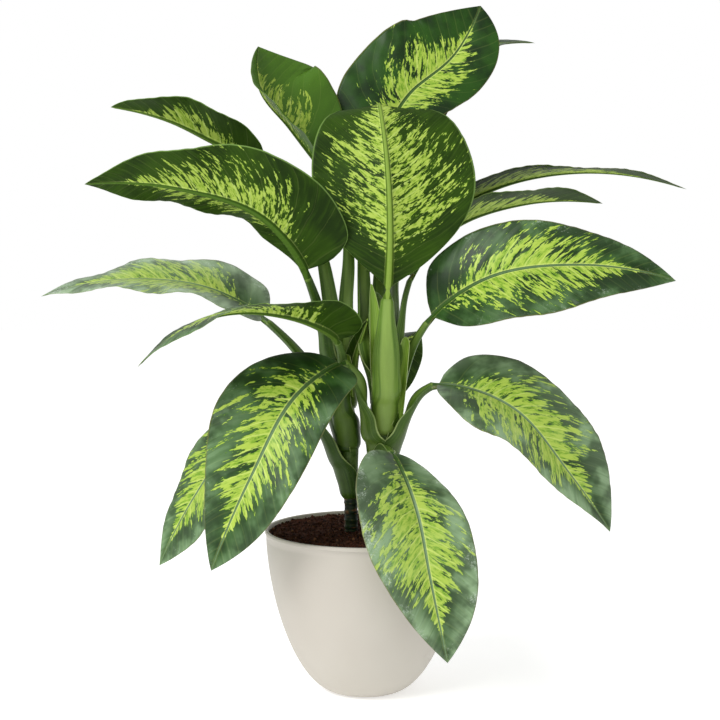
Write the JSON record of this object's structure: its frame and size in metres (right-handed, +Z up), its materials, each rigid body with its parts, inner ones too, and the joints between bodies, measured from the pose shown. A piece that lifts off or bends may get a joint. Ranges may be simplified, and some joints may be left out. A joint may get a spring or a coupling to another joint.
{
  "type": "potted dieffenbachia",
  "caption": "Bushy variegated dieffenbachia with arching leaves on canes, growing in soil in a plain rounded pot that stands on a flat base.",
  "frame": {"origin": "centre of the pot's flat base, on the surface that it stands on", "axes": "+Z up through the middle of the pot, -Y towards the plant's best side, +X to the right of someone who looks at that side"},
  "size_m": [0.66, 0.3104, 0.699],
  "materials": {
    "pot": "smooth matte warm grey plastic",
    "soil": "loose dark brown potting soil",
    "cane": "smooth green stem with pale and brown node rings",
    "leaf": "satin dark green leaf, blotched yellow-green between its side veins"
  },
  "bodies": {
    "root": {"pot": "pot", "soil": "soil", "cane_left": "cane", "cane_right": "cane", "leaf_low_left_rear": "leaf", "leaf_low_left": "leaf", "leaf_front": "leaf", "leaf_low_right": "leaf", "leaf_mid_right": "leaf", "leaf_centre": "leaf", "leaf_left": "leaf", "leaf_mid_left": "leaf", "leaf_twisted": "leaf", "leaf_top_left": "leaf", "leaf_upper_left": "leaf", "leaf_top": "leaf", "leaf_rear": "leaf", "leaf_right_upper": "leaf", "leaf_right_lower": "leaf", "leaf_rear_small": "leaf", "leaf_rolled": "leaf"}
  },
  "joints": []
}
